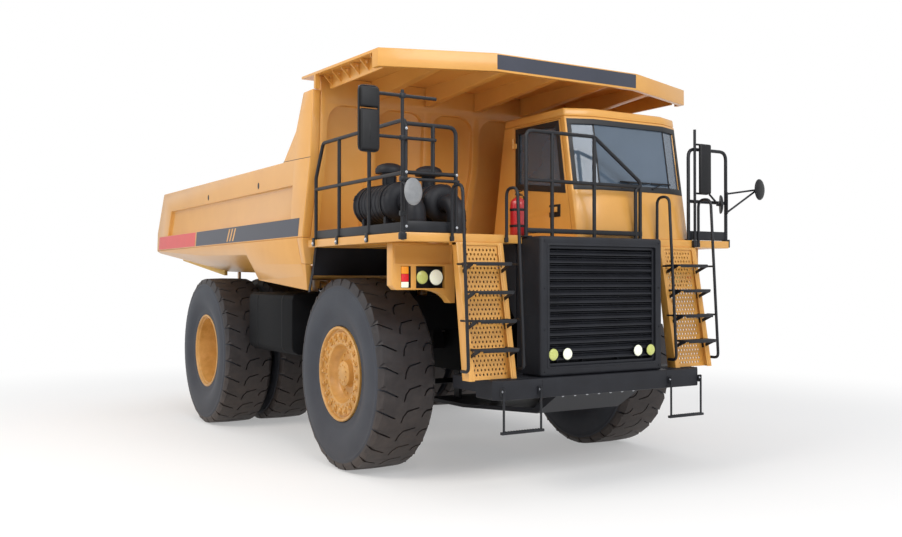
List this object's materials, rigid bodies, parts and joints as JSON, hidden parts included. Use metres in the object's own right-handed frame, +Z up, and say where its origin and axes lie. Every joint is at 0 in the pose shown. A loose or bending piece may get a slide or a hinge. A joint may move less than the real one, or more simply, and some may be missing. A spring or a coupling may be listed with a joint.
{
  "type": "mining dump truck",
  "caption": "rigid-frame mining dump truck with tipping body, canopy over an offset cab, steered front wheels and twin rear wheels",
  "frame": {"origin": "on the ground below the middle of the truck's bounding box", "axes": "+Z up, the truck faces -Y, its left side with the cab is +X"},
  "size_m": [5.5626, 9.238, 4.52],
  "materials": {
    "frame_paint": "satin dark frame paint",
    "cast_iron": "rough casting",
    "strut_paint": "satin dark paint",
    "tyre": "moulded rubber",
    "rim_paint": "satin yellow paint",
    "black_paint": "satin black powder coat",
    "body_paint": "satin yellow paint",
    "lamp_lens": "moulded lens",
    "window_glass": "tinted sheet glass",
    "cab_trim": "moulded trim",
    "mirror_shell": "moulded housing",
    "red_paint": "gloss red paint",
    "tank_paint": "satin black paint",
    "chromed_rod": "hard chrome"
  },
  "bodies": {
    "truck": {"chassis_frame": "frame_paint", "tow_hitch": "frame_paint", "rear_axle": "frame_paint", "power_train": "cast_iron", "rear_struts": "strut_paint", "front_struts": "strut_paint", "front_bumper": "black_paint", "belly_guard": "black_paint", "grille_housing": "black_paint", "grille_louvres": "black_paint", "mudguards": "black_paint", "steps": "black_paint", "hand_rails": "black_paint", "air_cleaners": "black_paint", "mirror_arms": "black_paint", "deck_platform": "body_paint", "fender_pods": "body_paint", "ladders": "body_paint", "cab_shell": "body_paint", "cab_roof": "body_paint", "door_hinges": "body_paint", "head_lamps": "lamp_lens", "cab_glass": "window_glass", "cab_interior": "cab_trim", "mirror_heads": "mirror_shell", "fire_extinguisher": "red_paint", "fuel_tank": "tank_paint", "hydraulic_tank": "tank_paint"},
    "knuckle_left": {"knuckle_left": "frame_paint"},
    "knuckle_right": {"knuckle_right": "frame_paint"},
    "track_rod": {"track_rod": "frame_paint"},
    "wheel_front_left": {"front_tyre_left": "tyre", "front_rim_left": "rim_paint"},
    "wheel_front_right": {"front_tyre_right": "tyre", "front_rim_right": "rim_paint"},
    "wheel_rear_left": {"rear_tyres_left": "tyre", "rear_rims_left": "rim_paint"},
    "wheel_rear_right": {"rear_tyres_right": "tyre", "rear_rims_right": "rim_paint"},
    "dump_bed": {"bed_floor": "body_paint", "bed_side_left": "body_paint", "bed_side_right": "body_paint", "bed_headboard": "body_paint", "bed_canopy": "body_paint"},
    "hoist_barrel_left": {"hoist_barrel_left": "strut_paint"},
    "hoist_barrel_right": {"hoist_barrel_right": "strut_paint"},
    "hoist_stage_left": {"hoist_stage_left": "chromed_rod"},
    "hoist_stage_right": {"hoist_stage_right": "chromed_rod"},
    "hoist_rod_left": {"hoist_rod_left": "chromed_rod"},
    "hoist_rod_right": {"hoist_rod_right": "chromed_rod"},
    "door_left": {"cab_door_left": "body_paint", "door_glass_left": "window_glass"},
    "door_right": {"cab_door_right": "body_paint", "door_glass_right": "window_glass"}
  },
  "joints": [
    {"name": "steer_left", "type": "hinge", "parent": "truck", "child": "knuckle_left", "pos_m": [1.15, -2.345, 1.08446], "axis": [0, 0, 1], "range_deg": [-32, 32]},
    {"name": "steer_right", "type": "hinge", "parent": "truck", "child": "knuckle_right", "pos_m": [-1.15, -2.345, 1.08446], "axis": [0, 0, 1], "range_deg": [-32, 32]},
    {"name": "track_rod_swing", "type": "hinge", "parent": "knuckle_left", "child": "track_rod", "pos_m": [1.15, -1.925, 0.88], "axis": [0, 0, 1], "range_deg": [-32, 32]},
    {"name": "spin_front_left", "type": "hinge", "parent": "knuckle_left", "child": "wheel_front_left", "pos_m": [1.704, -2.345, 1.08446], "axis": [1, 0, 0], "continuous": true},
    {"name": "spin_front_right", "type": "hinge", "parent": "knuckle_right", "child": "wheel_front_right", "pos_m": [-1.704, -2.345, 1.08446], "axis": [1, 0, 0], "continuous": true},
    {"name": "spin_rear_left", "type": "hinge", "parent": "truck", "child": "wheel_rear_left", "pos_m": [1.49, 1.975, 1.08446], "axis": [1, 0, 0], "continuous": true},
    {"name": "spin_rear_right", "type": "hinge", "parent": "truck", "child": "wheel_rear_right", "pos_m": [-1.49, 1.975, 1.08446], "axis": [1, 0, 0], "continuous": true},
    {"name": "bed_tip", "type": "hinge", "parent": "truck", "child": "dump_bed", "pos_m": [0, 3.025, 1.6], "axis": [-1, 0, 0], "range_deg": [0, 50]},
    {"name": "hoist_swing_left", "type": "hinge", "parent": "truck", "child": "hoist_barrel_left", "pos_m": [0.585, 1.455, 0.95], "axis": [-1, 0, 0], "range_deg": [0, 26.2]},
    {"name": "hoist_first_left", "type": "slide", "parent": "hoist_barrel_left", "child": "hoist_stage_left", "axis": [0, -0.0905, 0.9959], "range_m": [0, 0.656]},
    {"name": "hoist_second_left", "type": "slide", "parent": "hoist_stage_left", "child": "hoist_rod_left", "axis": [0, -0.0905, 0.9959], "range_m": [0, 0.656]},
    {"name": "hoist_swing_right", "type": "hinge", "parent": "truck", "child": "hoist_barrel_right", "pos_m": [-0.585, 1.455, 0.95], "axis": [-1, 0, 0], "range_deg": [0, 26.2]},
    {"name": "hoist_first_right", "type": "slide", "parent": "hoist_barrel_right", "child": "hoist_stage_right", "axis": [0, -0.0905, 0.9959], "range_m": [0, 0.656]},
    {"name": "hoist_second_right", "type": "slide", "parent": "hoist_stage_right", "child": "hoist_rod_right", "axis": [0, -0.0905, 0.9959], "range_m": [0, 0.656]},
    {"name": "door_left_swing", "type": "hinge", "parent": "truck", "child": "door_left", "pos_m": [1.679, -2.902, 3.3], "axis": [0, 0, 1], "range_deg": [0, 75]},
    {"name": "door_right_swing", "type": "hinge", "parent": "truck", "child": "door_right", "pos_m": [-0.014, -2.902, 3.3], "axis": [0, 0, -1], "range_deg": [0, 75]}
  ],
  "couplings": [
    {"joint": "steer_right", "follows": "steer_left", "ratio": 1},
    {"joint": "track_rod_swing", "follows": "steer_left", "ratio": -1},
    {"joint": "hoist_swing_left", "follows": "bed_tip", "ratio": 0.522},
    {"joint": "hoist_first_left", "follows": "bed_tip", "m_per_rad": 0.7505},
    {"joint": "hoist_second_left", "follows": "bed_tip", "m_per_rad": 0.7505},
    {"joint": "hoist_swing_right", "follows": "bed_tip", "ratio": 0.522},
    {"joint": "hoist_first_right", "follows": "bed_tip", "m_per_rad": 0.7505},
    {"joint": "hoist_second_right", "follows": "bed_tip", "m_per_rad": 0.7505}
  ]
}
